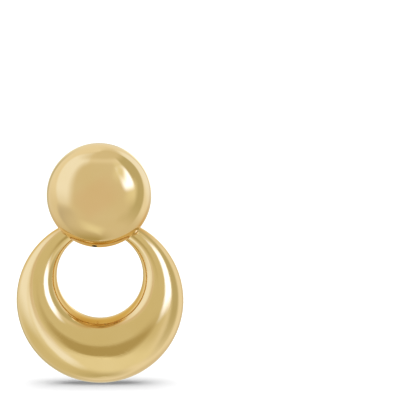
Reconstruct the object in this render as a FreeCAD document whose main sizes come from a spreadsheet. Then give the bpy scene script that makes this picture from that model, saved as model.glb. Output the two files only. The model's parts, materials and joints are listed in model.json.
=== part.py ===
import FreeCAD, Part
import math
import os
import Sketcher

# Doorknocker earring: a hollow domed button that pins to the earlobe, and a hollow
# tapered hoop that swings on a hinge behind it.
# Front is -Y, up is +Z. The origin is where the post leaves the back of the button.

# Driving sizes in millimetres and degrees: name, value, meaning
SIZES = (
    ("dome_radius", "7.0", "widest radius of the button"),
    ("dome_rise", "4.35", "height of the puffed front over its widest ring"),
    ("edge_depth", "1.3", "depth of the rounded edge behind the widest ring"),
    ("back_radius", "6.1", "radius of the flat back plate"),
    ("post_offset", "2.0", "height of the post over the centre of the button"),
    ("wall", "0.3", "thickness of the sheet metal"),
    ("vent_radius", "0.36", "radius of the vent hole"),
    ("vent_tilt", "66", "tilt of the vent hole down from the front"),
    ("vent_turn", "5", "turn of the vent hole to the left of the lowest point"),
    ("post_radius", "0.42", "radius of the ear post"),
    ("post_length", "10.5", "length of the ear post"),
    ("seat_gap", "0.02", "gap between the post and the back plate"),
    ("hole_radius", "5.79", "radius of the round opening of the hoop"),
    ("ring_radius", "11.26", "outer radius of the hoop"),
    ("ring_drop", "3.39", "drop of the outer circle below the centre of the opening"),
    ("hoop_drop", "11.02", "drop of the opening's centre below the button's centre"),
    ("hoop_set_back", "1.3", "distance of the hoop's middle plane behind the back plate"),
    ("top_depth", "1.8", "front to back depth of the hoop at its top"),
    ("bottom_depth", "7.0", "front to back depth of the hoop at its bottom"),
    ("solid_angle", "26", "angle each side of the top where the hoop is solid"),
    ("neck_radius", "0.65", "radius of the round neck that turns in the knuckle"),
    ("neck_length", "2.5", "length of the neck between its shoulders"),
    ("relief_radius", "1.6", "radius cleared round the neck for the knuckle"),
    ("running_gap", "0.05", "radial clearance between the neck and the knuckle"),
    ("knuckle_wall", "0.4", "wall of the knuckle round its bore"),
    ("knuckle_length", "2.3", "length of the knuckle"),
    ("foot_height", "1.4", "height of the foot that joins the knuckle to the plate"),
)

# Cross-sections that shape the outside of the hoop and its hollow
RING_SECTIONS = 12
HOLLOW_SECTIONS = 11

# How far a cutting form reaches past what it cuts
SPARE = 1

FRONT_TURN = FreeCAD.Rotation(FreeCAD.Vector(1, 0, 0), 90)
CROSSWISE_TURN = FreeCAD.Rotation(FreeCAD.Vector(0, 1, 0), 90)

# Heights of the opening's centre and of the hinge axis, which runs through the
# middle of the hoop's top
OPENING_Z = "(-Sizes.post_offset - Sizes.hoop_drop)"
HINGE_Z = f"({OPENING_Z} + (Sizes.hole_radius + Sizes.ring_radius - Sizes.ring_drop) / 2)"

doc = FreeCAD.newDocument("DoorknockerEarring")


def make_sheet():
    sheet = doc.addObject("Spreadsheet::Sheet", "Sizes")
    for row, (name, value, meaning) in enumerate(SIZES, start=1):
        sheet.set(f"A{row}", name)
        sheet.set(f"B{row}", value)
        sheet.setAlias(f"B{row}", name)
        sheet.set(f"C{row}", meaning)
    doc.recompute()
    return sheet


def bind(item, expressions):
    """Bind properties of an object to expressions of the sheet's sizes."""
    for path, expression in expressions.items():
        item.setExpression(path, expression)
    return item


def primitive(kind, name, turn, expressions):
    item = doc.addObject(f"Part::{kind}", name)
    item.Placement = FreeCAD.Placement(FreeCAD.Vector(), turn)
    return bind(item, expressions)


def cut(name, base, tool):
    item = doc.addObject("Part::Cut", name)
    item.Base = base
    item.Tool = tool
    return item


def common(name, base, tool):
    item = doc.addObject("Part::Common", name)
    item.Base = base
    item.Tool = tool
    return item


def fuse(name, shapes):
    item = doc.addObject("Part::MultiFuse", name)
    item.Shapes = shapes
    item.Refine = True
    return item


# Button


def puffed_form(name, radius, rise, edge_bulge, back_face):
    """Half ellipsoid in front of the widest ring, and a flatter one behind it that
    the back plate's plane cuts off."""
    centre = {
        "Placement.Base.y": "-Sizes.edge_depth",
        "Placement.Base.z": "-Sizes.post_offset",
    }
    front = primitive("Ellipsoid", f"{name}_front", FRONT_TURN, {
        "Radius1": rise, "Radius2": radius, "Radius3": radius, **centre})
    front.Angle1 = 0
    front.Angle2 = 90
    edge = primitive("Ellipsoid", f"{name}_edge", FRONT_TURN, {
        "Radius1": edge_bulge, "Radius2": radius, "Radius3": radius, **centre})
    edge.Angle1 = -90
    edge.Angle2 = 0
    slab = primitive("Cylinder", f"{name}_slab", FRONT_TURN, {
        "Radius": f"{radius} + {SPARE}",
        "Height": f"Sizes.edge_depth + {back_face}",
        "Placement.Base.y": back_face,
        "Placement.Base.z": "-Sizes.post_offset"})
    return fuse(name, [front, common(f"{name}_rim", edge, slab)])


def hinge_cylinder(name, radius, length):
    """Cylinder of this radius and length, centred on the hinge axis."""
    return primitive("Cylinder", name, CROSSWISE_TURN, {
        "Radius": radius,
        "Height": length,
        "Placement.Base.x": f"-({length}) / 2",
        "Placement.Base.y": "Sizes.hoop_set_back",
        "Placement.Base.z": HINGE_Z})


def make_knuckle():
    """Round knuckle on a foot, behind the lower half of the button."""
    bore_radius = "(Sizes.neck_radius + Sizes.running_gap)"
    barrel = hinge_cylinder(
        "knuckle_barrel", f"{bore_radius} + Sizes.knuckle_wall", "Sizes.knuckle_length")
    foot = primitive("Box", "knuckle_foot", FreeCAD.Rotation(), {
        "Length": "Sizes.knuckle_length",
        "Width": "Sizes.hoop_set_back + Sizes.wall / 2",
        "Height": "Sizes.foot_height",
        "Placement.Base.x": "-Sizes.knuckle_length / 2",
        "Placement.Base.y": "-Sizes.wall / 2",
        "Placement.Base.z": f"{HINGE_Z} - Sizes.foot_height / 2"})
    bore = hinge_cylinder("knuckle_bore", bore_radius, f"Sizes.knuckle_length + 2 * {SPARE}")
    return cut("knuckle", fuse("knuckle_block", [barrel, foot]), bore)


def make_vent():
    """Drill for the vent hole, square to the puffed front where it comes out."""
    slope = "(tan(Sizes.vent_tilt) * Sizes.dome_radius / Sizes.dome_rise)"
    depth = "(Sizes.wall * 2)"
    radius = f"(Sizes.dome_radius * {slope} / sqrt(1 + {slope} ^ 2) - {depth} * sin(Sizes.vent_tilt))"
    rise = f"(Sizes.dome_rise / sqrt(1 + {slope} ^ 2) - {depth} * cos(Sizes.vent_tilt))"
    drill = primitive("Cylinder", "vent_drill", FreeCAD.Rotation(), {
        "Radius": "Sizes.vent_radius",
        "Height": f"{depth} * 2",
        "Placement.Base.x": f"-{radius} * sin(Sizes.vent_turn)",
        "Placement.Base.y": f"-Sizes.edge_depth - {rise}",
        "Placement.Base.z": f"-Sizes.post_offset - {radius} * cos(Sizes.vent_turn)",
        "Placement.Rotation.Yaw": "-Sizes.vent_turn",
        "Placement.Rotation.Roll": "90 + Sizes.vent_tilt"})
    return drill


def make_button():
    bulge = "Sizes.edge_depth / sqrt(1 - (Sizes.back_radius / Sizes.dome_radius) ^ 2)"
    outside = puffed_form(
        "button_outside", "Sizes.dome_radius", "Sizes.dome_rise",
        bulge, "0")
    inside = puffed_form(
        "button_inside", "(Sizes.dome_radius - Sizes.wall)",
        "Sizes.dome_rise - Sizes.wall",
        f"{bulge} - Sizes.wall", "-Sizes.wall")
    shell = cut("button_shell", outside, inside)
    drilled = cut("button_drilled", shell, make_vent())
    button = fuse("button", [drilled, make_knuckle()])
    button.Label = "button"
    return button


# Ear post


def make_ear_post(sheet):
    """Rod with a round tip, turned about +Y from its half outline."""
    body = doc.addObject("PartDesign::Body", "ear_post")
    body.Label = "ear_post"
    sketch = body.newObject("Sketcher::SketchObject", "post_outline")
    plane = next(item for item in body.Origin.OriginFeatures if item.Role == "XY_Plane")
    sketch.AttachmentSupport = [(plane, "")]
    sketch.MapMode = "FlatFace"
    shoulder = sheet.post_length - sheet.post_radius
    corners = [FreeCAD.Vector(*point) for point in (
        (0, 0), (sheet.post_radius, 0), (sheet.post_radius, shoulder), (0, sheet.post_length))]
    centre = FreeCAD.Vector(0, shoulder)
    round_tip = Part.Circle(centre, FreeCAD.Vector(0, 0, 1), sheet.post_radius)
    base = sketch.addGeometry(Part.LineSegment(corners[0], corners[1]))
    side = sketch.addGeometry(Part.LineSegment(corners[1], corners[2]))
    tip = sketch.addGeometry(Part.ArcOfCircle(round_tip, 0, math.pi / 2))
    core = sketch.addGeometry(Part.LineSegment(corners[3], corners[0]))
    origin = (-1, 1)
    rules = (
        ("Coincident", base, 1, *origin),
        ("Coincident", base, 2, side, 1),
        ("Coincident", side, 2, tip, 1),
        ("Coincident", tip, 2, core, 1),
        ("Coincident", core, 2, *origin),
        ("Horizontal", base),
        ("Vertical", side),
        ("Vertical", core),
        ("PointOnObject", tip, 3, core),
        ("Horizontal", tip, 3, tip, 1),
    )
    for rule in rules:
        sketch.addConstraint(Sketcher.Constraint(*rule))
    radius = sketch.addConstraint(Sketcher.Constraint(
        "DistanceX", base, 1, base, 2, sheet.post_radius))
    length = sketch.addConstraint(Sketcher.Constraint(
        "DistanceY", core, 2, core, 1, sheet.post_length))
    sketch.setExpression(f"Constraints[{radius}]", "Sizes.post_radius")
    sketch.setExpression(f"Constraints[{length}]", "Sizes.post_length")
    rod = body.newObject("PartDesign::Revolution", "post_rod")
    rod.Profile = sketch
    rod.ReferenceAxis = (sketch, ["V_Axis"])
    rod.Angle = 360
    body.Tip = rod
    body.setExpression("Placement.Base.y", "Sizes.seat_gap")
    return body


# Hoop


def ring_width(angle):
    """Radial width of the hoop at an angle from its top, as an expression."""
    outer = (f"sqrt(Sizes.ring_radius ^ 2 - (Sizes.ring_drop * sin({angle})) ^ 2)"
             f" - Sizes.ring_drop * cos({angle})")
    return f"({outer} - Sizes.hole_radius)"


def ring_depth(angle):
    """Depth of the hoop, which grows with its width from the top to the bottom."""
    share = (f"({ring_width(angle)} - {ring_width(0)})"
             f" / ({ring_width(180)} - {ring_width(0)})")
    return f"(Sizes.top_depth + (Sizes.bottom_depth - Sizes.top_depth) * {share})"


def ring_section(name, angle, inset):
    """Oval cross-section in the plane that holds the opening's axis at this angle."""
    section = doc.addObject("Part::Ellipse", name)
    turn = FreeCAD.Rotation(FreeCAD.Vector(0, 1, 0), angle - 90)
    section.Placement = FreeCAD.Placement(FreeCAD.Vector(), turn)
    centre = f"(Sizes.hole_radius + {ring_width(angle)} / 2)"
    return bind(section, {
        "MajorRadius": f"{ring_width(angle)} / 2 - {inset}",
        "MinorRadius": f"{ring_depth(angle)} / 2 - {inset}",
        "Placement.Base.x": f"{centre} * sin({angle})",
        "Placement.Base.y": "Sizes.hoop_set_back",
        "Placement.Base.z": f"{OPENING_Z} + {centre} * cos({angle})",
    })


def ring_loft(name, sections, closed):
    loft = doc.addObject("Part::Loft", name)
    loft.Sections = sections
    loft.Solid = True
    loft.Ruled = False
    loft.Closed = closed
    return loft


def make_hoop(sheet):
    step = 360 / RING_SECTIONS
    outside = ring_loft("hoop_outside", [
        ring_section(f"outer_section_{number:02d}", number * step, "0")
        for number in range(RING_SECTIONS)], True)
    start = sheet.solid_angle
    span = (360 - 2 * start) / (HOLLOW_SECTIONS - 1)
    inside = ring_loft("hoop_inside", [
        ring_section(f"inner_section_{number:02d}", start + number * span, "Sizes.wall")
        for number in range(HOLLOW_SECTIONS)], False)
    shell = cut("hoop_shell", outside, inside)
    relief = hinge_cylinder("neck_relief", "Sizes.relief_radius", "Sizes.neck_length")
    neck = hinge_cylinder("neck_core", "Sizes.neck_radius", "Sizes.neck_length")
    hoop = cut("hoop", shell, cut("neck_waste", relief, neck))
    hoop.Label = "hoop"
    return hoop


# Checks and export


def check_document(parts):
    for item in doc.Objects:
        if "Invalid" in item.State or "Error" in item.State:
            raise RuntimeError(f"{item.Label} failed: {item.State}")
    for item in parts:
        shape = item.Shape
        if shape.isNull() or not shape.isValid() or len(shape.Solids) != 1:
            raise RuntimeError(f"{item.Label} is not one valid solid")


def main():
    sheet = make_sheet()
    parts = [make_button(), make_ear_post(sheet), make_hoop(sheet)]
    doc.recompute()
    check_document(parts)
    os.makedirs("parts", exist_ok=True)
    for item in parts:
        item.Shape.exportStep(f"parts/{item.Label}.step")
        box = item.Shape.BoundBox
        print(f"{item.Label}: volume {item.Shape.Volume:.2f}, "
              f"x {box.XMin:.2f} to {box.XMax:.2f}, "
              f"y {box.YMin:.2f} to {box.YMax:.2f}, z {box.ZMin:.2f} to {box.ZMax:.2f}")


main()
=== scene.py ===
import json
import math
from collections import namedtuple

import bmesh
import bpy
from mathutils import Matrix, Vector


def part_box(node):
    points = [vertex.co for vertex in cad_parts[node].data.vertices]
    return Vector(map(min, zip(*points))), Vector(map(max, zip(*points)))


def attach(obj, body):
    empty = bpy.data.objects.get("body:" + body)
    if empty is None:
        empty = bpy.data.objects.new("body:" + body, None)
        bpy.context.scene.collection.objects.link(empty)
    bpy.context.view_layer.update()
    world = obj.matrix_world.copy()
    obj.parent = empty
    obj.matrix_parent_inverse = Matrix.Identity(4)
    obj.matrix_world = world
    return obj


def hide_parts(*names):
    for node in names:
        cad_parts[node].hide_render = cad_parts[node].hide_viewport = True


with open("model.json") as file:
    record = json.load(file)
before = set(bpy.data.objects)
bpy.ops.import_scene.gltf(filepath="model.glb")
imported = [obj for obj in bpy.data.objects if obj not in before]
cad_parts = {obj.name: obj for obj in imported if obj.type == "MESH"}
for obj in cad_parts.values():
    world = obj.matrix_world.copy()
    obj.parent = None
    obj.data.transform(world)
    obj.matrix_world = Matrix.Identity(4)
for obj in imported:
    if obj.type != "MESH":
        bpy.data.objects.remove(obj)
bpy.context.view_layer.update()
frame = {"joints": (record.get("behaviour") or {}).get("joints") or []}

# Polished gold doorknocker earring: a domed button on an ear post, and a hollow
# tapered hoop that hangs from a hinge behind it.
# Metres. Front is -Y and up is +Z. The origin is where the post leaves the button.

MM = 0.001
TINY = 1e-9

# Boxes and hinge that the frame gives
button_low, button_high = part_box("button")
hoop_low, hoop_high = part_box("hoop")
post_low, post_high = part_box("ear_post")
hinge = Vector(frame["joints"][0]["pos_m"])

# Button
DOME_RADIUS = (button_high.x - button_low.x) / 2
DOME_Z = button_high.z - DOME_RADIUS
EDGE_DEPTH = 1.3 * MM
DOME_RISE = -button_low.y - EDGE_DEPTH
BACK_RADIUS = 6.1 * MM
WALL = 0.3 * MM
VENT_RADIUS = 0.36 * MM
VENT_TILT = math.radians(66)
VENT_TURN = math.radians(5)

# Hoop
HOLE_RADIUS = 5.79 * MM
RING_RADIUS = (hoop_high.x - hoop_low.x) / 2
RING_DROP = 3.39 * MM
OPENING_Z = hoop_low.z + RING_RADIUS + RING_DROP
SET_BACK = hinge.y
TOP_DEPTH = 1.8 * MM
BOTTOM_DEPTH = hoop_high.y - hoop_low.y
CREST_SHIFT = 0.045

# Hinge
NECK_RADIUS = 0.65 * MM
NECK_HALF = 1.25 * MM
SHOULDER_SOFT = 0.05 * MM
SHOULDER_RADII = (0.9 * MM, 0.8 * MM)
RUNNING_GAP = 0.05 * MM
KNUCKLE_WALL = 0.4 * MM
KNUCKLE_HALF = 1.15 * MM
KNUCKLE_SOFT = 0.07 * MM
BORE_RADIUS = NECK_RADIUS + RUNNING_GAP
KNUCKLE_RADIUS = BORE_RADIUS + KNUCKLE_WALL
FOOT_SINK = 0.03 * MM
# Degrees round the hinge axis, of half the flat foot and of the solder beside it
FOOT_TURN = 40
SOLDER_TURN = 24

# Post
POST_RADIUS = (post_high.x - post_low.x) / 2

# Fineness of the meshes
SHARP_ANGLE = math.radians(40)
DOME_ROWS = 128
DOME_STEPS = 256
CAVITY_ROWS = 48
CAVITY_STEPS = 96
DISC_SHARES = (0.96, 0.8, 0.6, 0.4, 0.2, 0.0)
VENT_STEPS = 40
HOOP_ROWS = 420
HOOP_COLUMNS = 144
HALVINGS = 40
KNUCKLE_COLUMNS = 144
POST_STEPS = 64
TIP_STEPS = 12
TENT_ROWS = 24
TENT_STEPS = 48

# Gold
GOLD_PALE = (0.765, 0.56, 0.262)
GOLD_DEEP = (0.755, 0.548, 0.246)
# Painted bounce light: a deeper, more orange gold on the opening's wall that stands in for light
# reflected between the walls
GOLD_PAINTED_BOUNCE = (0.71, 0.455, 0.125)
TONE_SCALE = (220, 220, 220)
TONE_RANGE = (0.35, 0.65)
CLOUD_SCALE = (500, 500, 500)
CLOUD_RANGE = (0.3, 0.7)
CLOUD_SHARE = 0.2
# How squarely a wall faces the opening's axis where the painted bounce light, a deeper and more orange
# gold, starts and is full
PAINTED_BOUNCE_RANGE = (0.72, 0.92)

# Lines of the polishing wheel: noise scale across them, along them and in depth
LINE_SCALE = (5200, 120, 5200)
LINE_RANGE = (0.3, 0.7)
LINE_DULLING = (-0.012, 0.018)
LINE_HEIGHT = 0.35
TURN_LENGTH = 10 * MM

# Fine scratches in two directions: noise scale along each axis, the axes' turn in
# degrees, and the level of the noise where a scratch starts
SCRATCHES = (
    ((9000, 700, 350), (0, 38, 12), 0.66),
    ((8000, 900, 300), (8, -57, 5), 0.67),
)
SCRATCH_EDGE = 0.08
SCRATCH_DULLING = 0.05
SCRATCH_HEIGHT = -0.15

# Heights of the bump, of lines and scratches and of the sheet's waves
FINE_DEPTH = 0.005 * MM
WAVE_DEPTH = 0.020 * MM
WAVE_SCALE = (260, 260, 260)

# Lamp, floor and light tents
LAMP = 4.6
LAMP_ANGLE = math.radians(92)
FLOOR_HALF = 3.0
FLOOR_GAP = 0.02 * MM
FLOOR_WHITE = (0.88, 0.88, 0.88)
BUTTON_TENT_RADIUS = 2.0
HOOP_TENT_RADIUS = 2.2
ROUND_POWER = 4.0

# Camera
CAMERA_DISTANCE = 390 * MM
CAMERA_ELEVATION = math.radians(5.5)
CAMERA_TARGET = Vector((13.47, 0, -2.77)) * MM
SEEN_WIDTH = 53.55 * MM
SENSOR_WIDTH = 36
NEAREST = 0.01
FARTHEST = 20

# Colours of the cards: a gold surface turns the bluish ones pale
KEY_LAMP = (1.9, 2.4, 4.5)
COOL_PANEL = (1.15, 1.3, 1.7)
BRIGHT_CARD = (1.4, 1.5, 1.5)
WHITE_CARD = (1.0, 1.05, 1.0)
CREAM_CARD = (0.85, 0.85, 0.8)
BEIGE_CARD = (0.85, 0.8, 0.75)
STRAW_CARD = (0.8, 0.8, 0.65)
BUFF_CARD = (0.9, 0.8, 0.5)
KHAKI_CARD = (0.65, 0.65, 0.5)
TAN_CARD = (0.75, 0.5, 0.15)
DIM_CARD = (0.55, 0.5, 0.3)
AMBER_CARD = (0.65, 0.4, 0.05)
SHADE_CARD = (0.1, 0.1, 0.4)
ROOM = (1.05, 1.1, 1.2)

# Soft card in a light tent. Angles are degrees, azimuth 0 being the front and 90 the
# right. A later card covers an earlier one.
Card = namedtuple("Card", "use azimuth elevation half_width half_height turn softness colour")

BACK_CARDS = (
    Card("wall behind", 180, -10, 45, 35, 0, 0.4, STRAW_CARD),
    Card("floor behind", 180, -50, 60, 15, 0, 0.5, CREAM_CARD),
    Card("card behind at the right", 140, -10, 12, 40, 10, 0.6, BEIGE_CARD),
    Card("card behind at the left", -145, -10, 12, 40, -5, 0.6, KHAKI_CARD),
    Card("lamp behind", 160, 10, 10, 15, 0, 0.4, BRIGHT_CARD),
    Card("fill behind", -160, 20, 12, 20, 0, 0.5, WHITE_CARD),
)
BUTTON_CARDS = (
    Card("gold below the back", 180, -45, 55, 25, 0, 0.5, TAN_CARD),
    Card("pale right rim", 120, 30, 20, 35, 0, 0.4, COOL_PANEL),
    Card("pale left side", -55, 30, 35, 45, 20, 0.15, COOL_PANEL),
    Card("shade at the lower left", -65, -50, 25, 30, -10, 0.3, SHADE_CARD),
    Card("khaki right side", 68, 5, 25, 90, -15, 0.2, KHAKI_CARD),
    Card("cream top", 45, 75, 100, 15, 0, 0.5, CREAM_CARD),
    Card("dim floor", -20, -80, 140, 40, 0, 0.5, DIM_CARD),
    Card("disc in the middle", 5, 10, 50, 45, 0, 0.2, CREAM_CARD),
    Card("cream floor in front", 15, -50, 140, 25, -10, 0.8, CREAM_CARD),
    Card("light on the lower edge", -15, -55, 20, 8, -20, 0.9, WHITE_CARD),
    Card("camera", -5, -5, 30, 20, 35, 0.5, BEIGE_CARD),
    Card("key lamp's spill", 55, 5, 10, 15, -20, 0.8, WHITE_CARD),
    Card("key lamp", 47, 25, 12, 17, 10, 0.4, KEY_LAMP),
    Card("glow over the key lamp", 40, 35, 10, 15, -30, 0.8, WHITE_CARD),
)
HOOP_CARDS = (
    Card("buff wall high behind", 190, 60, 90, 35, -20, 0.7, BUFF_CARD),
    Card("amber ceiling", 20, 85, 140, 30, 0, 0.7, AMBER_CARD),
    Card("pale left side", -80, 5, 30, 50, 0, 0.5, COOL_PANEL),
    Card("straw floor at the left", -70, -65, 65, 45, -20, 0.4, STRAW_CARD),
    Card("khaki right side", 65, 20, 18, 60, 10, 0.5, KHAKI_CARD),
    Card("straw front", -3, 15, 42, 85, 10, 0.4, STRAW_CARD),
    Card("white floor in front", 0, -45, 50, 25, -20, 0.5, WHITE_CARD),
    Card("light on the lower front", -5, -20, 15, 7, -30, 0.4, BRIGHT_CARD),
    Card("camera", 0, -12, 20, 15, -20, 0.4, DIM_CARD),
    Card("light at the lower left", -37, -25, 10, 30, 10, 0.5, COOL_PANEL),
    Card("light at the lower right", 50, -50, 15, 8, -10, 0.8, WHITE_CARD),
    Card("key lamp", 35, 15, 12, 16, 5, 0.5, KEY_LAMP),
    Card("glow on the left", -45, 25, 5, 40, 20, 0.8, BEIGE_CARD),
    Card("khaki floor", -15, -90, 140, 15, 0, 0.8, KHAKI_CARD),
)


# Meshes


def add_object(name, vertices, faces):
    mesh = bpy.data.meshes.new(name)
    mesh.from_pydata([tuple(point) for point in vertices], [], faces)
    build = bmesh.new()
    build.from_mesh(mesh)
    bmesh.ops.recalc_face_normals(build, faces=build.faces)
    build.to_mesh(mesh)
    build.free()
    piece = bpy.data.objects.new(name, mesh)
    bpy.context.collection.objects.link(piece)
    shade_smooth(piece)
    return piece


def shade_smooth(piece):
    """Smooth shading that stops at real edges."""
    mesh = piece.data
    mesh.polygons.foreach_set("use_smooth", [True] * len(mesh.polygons))
    mesh.set_sharp_from_angle(angle=SHARP_ANGLE)


def add_closed_grid(name, rings):
    """Piece of quads between neighbouring rings, the last of which joins the first."""
    columns = len(rings[0])
    faces = []
    for row in range(len(rings)):
        here = row * columns
        there = (row + 1) % len(rings) * columns
        for column in range(columns):
            after = (column + 1) % columns
            faces.append((here + column, here + after, there + after, there + column))
    return add_object(name, [point for ring in rings for point in ring], faces)


def lathe(name, profile, axis, centre, steps):
    """Turns a profile of (radius, height) about an axis. A radius of nought is a pole."""
    turn = Vector((0, 0, 1)).rotation_difference(Vector(axis)).to_matrix()
    vertices, rings, faces = [], [], []
    for radius, height in profile:
        count = steps if radius > TINY else 1
        rings.append(range(len(vertices), len(vertices) + count))
        for step in range(count):
            angle = 2 * math.pi * step / steps
            point = Vector((radius * math.cos(angle), radius * math.sin(angle), height))
            vertices.append(centre + turn @ point)
    for first, second in zip(rings, rings[1:]):
        for step in range(steps):
            after = (step + 1) % steps
            corners = (first[step % len(first)], second[step % len(second)],
                       second[after % len(second)], first[after % len(first)])
            faces.append(tuple(dict.fromkeys(corners)))
    return add_object(name, vertices, faces)


# Button


def dome_profile(radius, rise, bulge, plate, rows):
    """Profile of the puffed form from the apex back to a plane, with heights measured
    forward: half an ellipse in front of the widest ring and a flatter one behind it."""
    last = math.pi - math.acos((EDGE_DEPTH - plate) / bulge)
    profile = []
    for row in range(rows + 1):
        turn = last * row / rows
        depth = rise if turn < math.pi / 2 else bulge
        profile.append((radius * math.sin(turn), EDGE_DEPTH + depth * math.cos(turn)))
    return profile


def flat_disc(radius, height):
    return [(radius * share, height) for share in DISC_SHARES]


def vent_drill():
    """Rod along the vent hole, square to the puffed front where it comes out."""
    slope = math.tan(VENT_TILT) * DOME_RADIUS / DOME_RISE
    radius = DOME_RADIUS * slope / math.hypot(1, slope)
    rise = DOME_RISE / math.hypot(1, slope)
    down = Vector((-math.sin(VENT_TURN), 0, -math.cos(VENT_TURN)))
    mouth = Vector((0, -EDGE_DEPTH - rise, DOME_Z)) + down * radius
    axis = down * math.sin(VENT_TILT) + Vector((0, -math.cos(VENT_TILT), 0))
    reach = WALL * 2
    profile = [(0.0, -reach), (VENT_RADIUS, -reach), (VENT_RADIUS, reach), (0.0, reach)]
    return lathe("vent_drill", profile, axis, mouth, VENT_STEPS)


def cut_out(piece, tool):
    """Takes the tool's space out of the piece, and deletes the tool."""
    cut = piece.modifiers.new("cut", "BOOLEAN")
    cut.operation = "DIFFERENCE"
    cut.solver = "EXACT"
    cut.object = tool
    graph = bpy.context.evaluated_depsgraph_get()
    mesh = bpy.data.meshes.new_from_object(piece.evaluated_get(graph))
    piece.modifiers.clear()
    piece.data = mesh
    bpy.data.objects.remove(tool)


def make_button():
    """Hollow shell of sheet metal with its back plate and its vent hole."""
    bulge = EDGE_DEPTH / math.sqrt(1 - (BACK_RADIUS / DOME_RADIUS) ** 2)
    centre = Vector((0, 0, DOME_Z))
    front = Vector((0, -1, 0))
    outer = dome_profile(DOME_RADIUS, DOME_RISE, bulge, 0, DOME_ROWS)
    outer += flat_disc(outer[-1][0], 0.0)
    shell = lathe("domed_button", outer, front, centre, DOME_STEPS)
    inner = dome_profile(DOME_RADIUS - WALL, DOME_RISE - WALL, bulge - WALL, WALL, CAVITY_ROWS)
    inner += flat_disc(inner[-1][0], WALL)
    cavity = lathe("cavity", inner, front, centre, CAVITY_STEPS)
    for tool in (cavity, vent_drill()):
        cut_out(shell, tool)
    shade_smooth(shell)
    return shell


# Hoop


def ring_width(turn):
    reach = math.sqrt(RING_RADIUS ** 2 - (RING_DROP * math.sin(turn)) ** 2)
    return reach - RING_DROP * math.cos(turn) - HOLE_RADIUS


def ring_depth(turn):
    narrow = ring_width(0)
    share = (ring_width(turn) - narrow) / (ring_width(math.pi) - narrow)
    return TOP_DEPTH + (BOTTOM_DEPTH - TOP_DEPTH) * share


def ring_point(turn, around):
    """Point on the hoop: turn is the angle from its top, around the angle in its
    cross-section from the outer rim."""
    width = ring_width(turn)
    crest = CREST_SHIFT * width * math.sin(around) ** 2
    reach = HOLE_RADIUS + width / 2 * (1 + math.cos(around)) - crest
    depth = SET_BACK - ring_depth(turn) / 2 * math.sin(around)
    return Vector((reach * math.sin(turn), depth, OPENING_Z + reach * math.cos(turn)))


def shoulder_turn(around):
    """Turn at which this line round the hoop meets the neck's shoulder."""
    low, high = 0.0, math.pi / 4
    for _ in range(HALVINGS):
        middle = (low + high) / 2
        if ring_point(middle, around).x < NECK_HALF:
            low = middle
        else:
            high = middle
    return high


def neck_ring(x, radius, arounds):
    """Ring round the hinge axis, part of the neck."""
    return [Vector((x, hinge.y - radius * math.sin(around), hinge.z + radius * math.cos(around)))
            for around in arounds]


def make_hoop():
    """Outside of the hoop, closed at its top by the neck between two flat shoulders."""
    arounds = [2 * math.pi * column / HOOP_COLUMNS for column in range(HOOP_COLUMNS)]
    starts = [shoulder_turn(around) for around in arounds]
    rings = []
    for row in range(HOOP_ROWS + 1):
        share = row / HOOP_ROWS
        rings.append([
            ring_point(start + (2 * math.pi - 2 * start) * share, around)
            for start, around in zip(starts, arounds)])
    half_neck = [(NECK_HALF - SHOULDER_SOFT, radius) for radius in SHOULDER_RADII]
    half_neck += [(NECK_HALF - 2 * SHOULDER_SOFT, NECK_RADIUS), (0.0, NECK_RADIUS)]
    neck = [(-x, radius) for x, radius in half_neck] + list(reversed(half_neck[:-1]))
    rings += [neck_ring(x, radius, arounds) for x, radius in neck]
    return add_closed_grid("hoop_ring", rings)


# Hinge knuckle and post


def foot_reach(angle):
    """Distance from the hinge axis to the outside of the knuckle. Its foot is flat
    against the back plate and flares there into a line of solder."""
    turn = abs(math.degrees(angle))
    plate = hinge.y + FOOT_SINK
    if turn <= FOOT_TURN:
        return plate / math.cos(math.radians(turn))
    widest = plate / math.cos(math.radians(FOOT_TURN))
    share = min(1.0, (turn - FOOT_TURN) / SOLDER_TURN)
    return KNUCKLE_RADIUS + (widest - KNUCKLE_RADIUS) * (1 - share) ** 2


def knuckle_ring(x, inset, outside):
    ring = []
    for column in range(KNUCKLE_COLUMNS):
        angle = 2 * math.pi * column / KNUCKLE_COLUMNS - math.pi
        reach = foot_reach(angle) - inset if outside else BORE_RADIUS + inset
        ring.append(Vector((x, hinge.y - reach * math.cos(angle), hinge.z + reach * math.sin(angle))))
    return ring


def make_knuckle():
    """Tube round the neck with softened ends: its outside, and its bore."""
    end = KNUCKLE_HALF
    flat = KNUCKLE_HALF - KNUCKLE_SOFT
    return add_closed_grid("hinge_knuckle", [knuckle_ring(x, inset, outside) for x, inset, outside in (
        (-flat, 0, False), (-end, KNUCKLE_SOFT, False),
        (-end, KNUCKLE_SOFT, True), (-flat, 0, True), (0, 0, True),
        (flat, 0, True), (end, KNUCKLE_SOFT, True),
        (end, KNUCKLE_SOFT, False), (flat, 0, False), (0, 0, False))])


def make_post():
    """Straight rod with a round tip."""
    shoulder = post_high.y - POST_RADIUS
    profile = [(0.0, post_low.y), (POST_RADIUS, post_low.y)]
    for step in range(TIP_STEPS + 1):
        angle = math.pi / 2 * step / TIP_STEPS
        profile.append((POST_RADIUS * math.cos(angle), shoulder + POST_RADIUS * math.sin(angle)))
    return lathe("post_rod", profile, (0, 1, 0), Vector(), POST_STEPS)


# Nodes


def add_node(tree, kind, **values):
    node = tree.nodes.new(kind)
    for name, value in values.items():
        setattr(node, name, value)
    return node


def plug(tree, value, socket):
    """Link an output to a socket, or set the socket to a constant."""
    if isinstance(value, bpy.types.NodeSocket):
        tree.links.new(value, socket)
    elif socket.type == "RGBA":
        socket.default_value = (*value, 1)
    else:
        socket.default_value = value


def calculate(tree, operation, *values):
    node = add_node(tree, "ShaderNodeMath", operation=operation)
    for socket, value in zip(node.inputs, values):
        plug(tree, value, socket)
    return node.outputs[0]


def calculate_vector(tree, operation, *values):
    node = add_node(tree, "ShaderNodeVectorMath", operation=operation)
    for socket, value in zip(node.inputs, values):
        plug(tree, value, socket)
    return node.outputs["Value" if operation == "DOT_PRODUCT" else "Vector"]


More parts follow.
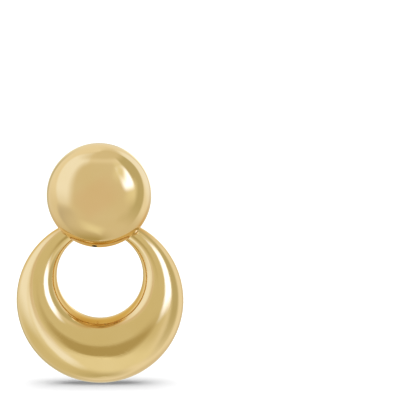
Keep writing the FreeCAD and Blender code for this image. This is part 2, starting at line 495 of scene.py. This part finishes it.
def split(tree, vector):
    parts = add_node(tree, "ShaderNodeSeparateXYZ")
    tree.links.new(vector, parts.inputs[0])
    return parts.outputs


def mix(tree, share, first, second):
    node = add_node(tree, "ShaderNodeMix", data_type="RGBA")
    for index, value in ((0, share), (6, first), (7, second)):
        plug(tree, value, node.inputs[index])
    return node.outputs[2]


def spread(tree, value, source, target=(0.0, 1.0), kind="LINEAR"):
    """Map a value from one range to another, held at its ends."""
    node = add_node(tree, "ShaderNodeMapRange", interpolation_type=kind)
    for socket, setting in (("Value", value), ("From Min", source[0]), ("From Max", source[1]),
                            ("To Min", target[0]), ("To Max", target[1])):
        plug(tree, setting, node.inputs[socket])
    return node.outputs["Result"]


def noise(tree, place, detail, scale, turn=(0, 0, 0)):
    """Noise with its own scale along each axis, the axes being turned by these degrees."""
    mapping = add_node(tree, "ShaderNodeMapping", vector_type="TEXTURE")
    tree.links.new(place, mapping.inputs["Vector"])
    mapping.inputs["Rotation"].default_value = [math.radians(angle) for angle in turn]
    mapping.inputs["Scale"].default_value = [1 / value for value in scale]
    texture = add_node(tree, "ShaderNodeTexNoise")
    tree.links.new(mapping.outputs[0], texture.inputs["Vector"])
    texture.inputs["Scale"].default_value = 1.0
    texture.inputs["Detail"].default_value = detail
    return texture.outputs["Fac"]


def bump(tree, height, distance):
    node = add_node(tree, "ShaderNodeBump")
    node.inputs["Strength"].default_value = 1.0
    node.inputs["Distance"].default_value = distance
    tree.links.new(height, node.inputs["Height"])
    return node


# Gold


def around_axis(tree, place, centre):
    """Place on the piece as distance from an axis along Y, turn about it, and depth, so
    that a pattern follows the round of the piece."""
    x, y, z = split(tree, calculate_vector(tree, "SUBTRACT", place, centre))
    reach = calculate(tree, "SQRT", calculate(
        tree, "ADD", calculate(tree, "MULTIPLY", x, x), calculate(tree, "MULTIPLY", z, z)))
    turn = calculate(tree, "MULTIPLY", calculate(tree, "ARCTAN2", x, z), TURN_LENGTH)
    joined = add_node(tree, "ShaderNodeCombineXYZ")
    for value, socket in zip((reach, turn, y), joined.inputs):
        tree.links.new(value, socket)
    return joined.outputs[0]


def facing_axis(tree, place, normal, centre):
    """One where the surface faces an axis along Y, and minus one where it faces away."""
    shifted = calculate_vector(tree, "SUBTRACT", place, centre)
    level = calculate_vector(tree, "MULTIPLY", shifted, (-1, 0, -1))
    inward = calculate_vector(tree, "NORMALIZE", level)
    return calculate_vector(tree, "DOT_PRODUCT", inward, normal)


def scratch_pattern(tree, place):
    """One on a scratch, nought between them."""
    sets = [spread(tree, noise(tree, place, 2, scale, turn), (level, level + SCRATCH_EDGE))
            for scale, turn, level in SCRATCHES]
    return calculate(tree, "MAXIMUM", *sets)


def make_gold(name, roughness, centre, wear, opening=False):
    """Polished yellow gold: faint tone shifts, lines left by the polishing wheel that run
    round the piece, fine scratches across them, and the slight waves of pressed sheet.
    The wall of an opening is painted a deeper gold, a painted reflection of the light that bounces
    between its walls."""
    material = bpy.data.materials.new(name)
    material.use_nodes = True
    tree = material.node_tree
    shader = tree.nodes["Principled BSDF"]
    shader.inputs["Metallic"].default_value = 1.0
    coordinates = add_node(tree, "ShaderNodeTexCoord")
    place = coordinates.outputs["Object"]

    tone = spread(tree, noise(tree, place, 3, TONE_SCALE), TONE_RANGE)
    colour = mix(tree, tone, GOLD_DEEP, GOLD_PALE)
    # Painted bounce light: walls that face the opening's axis get the deeper gold
    if opening:
        facing = facing_axis(tree, place, coordinates.outputs["Normal"], centre)
        colour = mix(tree, spread(tree, facing, PAINTED_BOUNCE_RANGE), colour, GOLD_PAINTED_BOUNCE)
    tree.links.new(colour, shader.inputs["Base Color"])

    lines = noise(tree, around_axis(tree, place, centre), 5, LINE_SCALE)
    scratches = scratch_pattern(tree, place)
    dulled = calculate(
        tree, "ADD", spread(tree, lines, LINE_RANGE, [change * wear for change in LINE_DULLING]),
        calculate(tree, "MULTIPLY", scratches, SCRATCH_DULLING * wear))
    cloudy = spread(tree, noise(tree, place, 4, CLOUD_SCALE), CLOUD_RANGE,
                    (roughness * (1 - CLOUD_SHARE), roughness * (1 + CLOUD_SHARE)))
    tree.links.new(calculate(tree, "ADD", dulled, cloudy), shader.inputs["Roughness"])

    height = calculate(
        tree, "ADD", calculate(tree, "MULTIPLY", lines, LINE_HEIGHT * wear),
        calculate(tree, "MULTIPLY", scratches, SCRATCH_HEIGHT * wear))
    fine = bump(tree, height, FINE_DEPTH)
    waves = bump(tree, noise(tree, place, 1, WAVE_SCALE), WAVE_DEPTH)
    tree.links.new(fine.outputs[0], waves.inputs["Normal"])
    tree.links.new(waves.outputs[0], shader.inputs["Normal"])
    return material


# Studio


def card_mask(tree, side, height, card):
    """One inside the card, nought outside it, with its corners rounded."""
    across = calculate(
        tree, "WRAP", calculate(tree, "SUBTRACT", side, card.azimuth), 180.0, -180.0)
    up = calculate(tree, "SUBTRACT", height, card.elevation)
    cosine = math.cos(math.radians(card.turn))
    sine = math.sin(math.radians(card.turn))
    powers = []
    for first, second, half in ((cosine, sine, card.half_width), (-sine, cosine, card.half_height)):
        along = calculate(tree, "ADD", calculate(tree, "MULTIPLY", across, first / half),
                          calculate(tree, "MULTIPLY", up, second / half))
        powers.append(calculate(tree, "POWER", calculate(tree, "ABSOLUTE", along), ROUND_POWER))
    reach = calculate(tree, "POWER", calculate(tree, "ADD", *powers), 1 / ROUND_POWER)
    return spread(tree, reach, (1 + card.softness, 1 - card.softness), kind="SMOOTHSTEP")


def card_light(name, surround, cards):
    """Material that shines inwards with the cards' light and lets rays pass."""
    material = bpy.data.materials.new(name)
    material.use_nodes = True
    material.cycles.emission_sampling = "NONE"
    tree = material.node_tree
    tree.nodes.clear()
    place = add_node(tree, "ShaderNodeTexCoord").outputs["Object"]
    x, y, z = split(tree, calculate_vector(tree, "NORMALIZE", place))
    forward = calculate(tree, "MULTIPLY", y, -1.0)
    side = calculate(tree, "DEGREES", calculate(tree, "ARCTAN2", x, forward))
    height = calculate(tree, "DEGREES", calculate(tree, "ARCSINE", z))
    colour = surround
    for card in cards:
        colour = mix(tree, card_mask(tree, side, height, card), colour, card.colour)
    emission = add_node(tree, "ShaderNodeEmission")
    tree.links.new(colour, emission.inputs["Color"])
    both = add_node(tree, "ShaderNodeAddShader")
    tree.links.new(emission.outputs[0], both.inputs[0])
    tree.links.new(add_node(tree, "ShaderNodeBsdfTransparent").outputs[0], both.inputs[1])
    output = add_node(tree, "ShaderNodeOutputMaterial")
    tree.links.new(both.outputs[0], output.inputs["Surface"])
    return material


def make_tent(name, radius, cards, pieces):
    """Light tent that shows only in the reflections of these pieces."""
    profile = []
    for row in range(TENT_ROWS + 1):
        angle = math.pi * row / TENT_ROWS
        profile.append((radius * math.sin(angle), -radius * math.cos(angle)))
    tent = lathe(name, profile, (0, 0, 1), Vector(), TENT_STEPS)
    tent.location = (0, 0, (hoop_low.z + button_high.z) / 2)
    tent.data.materials.append(card_light(name, ROOM, cards))
    for ray in ("camera", "diffuse", "transmission", "volume_scatter", "shadow"):
        setattr(tent, f"visible_{ray}", False)
    lit = bpy.data.collections.new(f"{name}_lit")
    for piece in pieces:
        lit.objects.link(piece)
    tent.light_linking.receiver_collection = lit


def make_lamp():
    """Broad overhead lamp that lights the floor and stays out of the reflections."""
    data = bpy.data.lights.new("overhead", "SUN")
    data.energy = LAMP
    data.angle = LAMP_ANGLE
    lamp = bpy.data.objects.new("overhead", data)
    lamp.visible_glossy = False
    bpy.context.collection.objects.link(lamp)


def make_world():
    """White backdrop that gives no light."""
    world = bpy.data.worlds.new("white")
    bpy.context.scene.world = world
    world.use_nodes = True
    world.cycles.sampling_method = "NONE"
    tree = world.node_tree
    background = tree.nodes["Background"]
    background.inputs["Color"].default_value = (1, 1, 1, 1)
    seen = add_node(tree, "ShaderNodeLightPath").outputs["Is Camera Ray"]
    tree.links.new(seen, background.inputs["Strength"])


def make_floor():
    """White floor that can be seen from above only."""
    height = hoop_low.z - FLOOR_GAP
    corners = [(x * FLOOR_HALF, y * FLOOR_HALF, height) for x, y in ((-1, -1), (1, -1), (1, 1), (-1, 1))]
    floor = add_object("floor", corners, [(0, 1, 2, 3)])
    material = bpy.data.materials.new("floor_white")
    material.use_nodes = True
    tree = material.node_tree
    shader = tree.nodes["Principled BSDF"]
    shader.inputs["Base Color"].default_value = (*FLOOR_WHITE, 1)
    shader.inputs["Roughness"].default_value = 1.0
    shader.inputs["Specular IOR Level"].default_value = 0.0
    either = add_node(tree, "ShaderNodeMixShader")
    tree.links.new(add_node(tree, "ShaderNodeNewGeometry").outputs["Backfacing"], either.inputs[0])
    tree.links.new(shader.outputs[0], either.inputs[1])
    tree.links.new(add_node(tree, "ShaderNodeBsdfTransparent").outputs[0], either.inputs[2])
    tree.links.new(either.outputs[0], tree.nodes["Material Output"].inputs["Surface"])
    floor.data.materials.append(material)
    floor.visible_glossy = False


def make_camera():
    """Camera in front and a little above, framed so that the earring is at the left."""
    data = bpy.data.cameras.new("camera")
    data.sensor_width = SENSOR_WIDTH
    data.lens = SENSOR_WIDTH * CAMERA_DISTANCE / SEEN_WIDTH
    data.clip_start = NEAREST
    data.clip_end = FARTHEST
    camera = bpy.data.objects.new("camera", data)
    bpy.context.collection.objects.link(camera)
    back = Vector((0, -math.cos(CAMERA_ELEVATION), math.sin(CAMERA_ELEVATION)))
    camera.location = CAMERA_TARGET + CAMERA_DISTANCE * back
    camera.rotation_euler = (math.pi / 2 - CAMERA_ELEVATION, 0, 0)
    bpy.context.scene.camera = camera


# Assembly

button = make_button()
knuckle = make_knuckle()
post = make_post()
hoop = make_hoop()
dome_gold = make_gold("gold_button", roughness=0.05, centre=(0, 0, DOME_Z), wear=0.6)
hoop_gold = make_gold("gold_hoop", roughness=0.045, centre=(0, 0, OPENING_Z), wear=2.0, opening=True)
finding_gold = make_gold("gold_findings", roughness=0.10, centre=(0, 0, hinge.z), wear=2.0)
for piece, material, body, nodes in (
        (button, dome_gold, "root", ("button",)),
        (knuckle, finding_gold, "root", ()),
        (post, finding_gold, "root", ("ear_post",)),
        (hoop, hoop_gold, "hoop_body", ("hoop",))):
    piece.data.materials.append(material)
    piece.visible_diffuse = False    # so that the gold doesn't tint the floor
    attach(piece, body)
    if nodes:
        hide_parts(*nodes)

make_world()
make_lamp()
make_tent("button_tent", BUTTON_TENT_RADIUS, BACK_CARDS + BUTTON_CARDS, (button, knuckle, post))
make_tent("hoop_tent", HOOP_TENT_RADIUS, BACK_CARDS + HOOP_CARDS, (hoop,))
make_floor()
make_camera()
bpy.context.scene.view_settings.view_transform = "Standard"
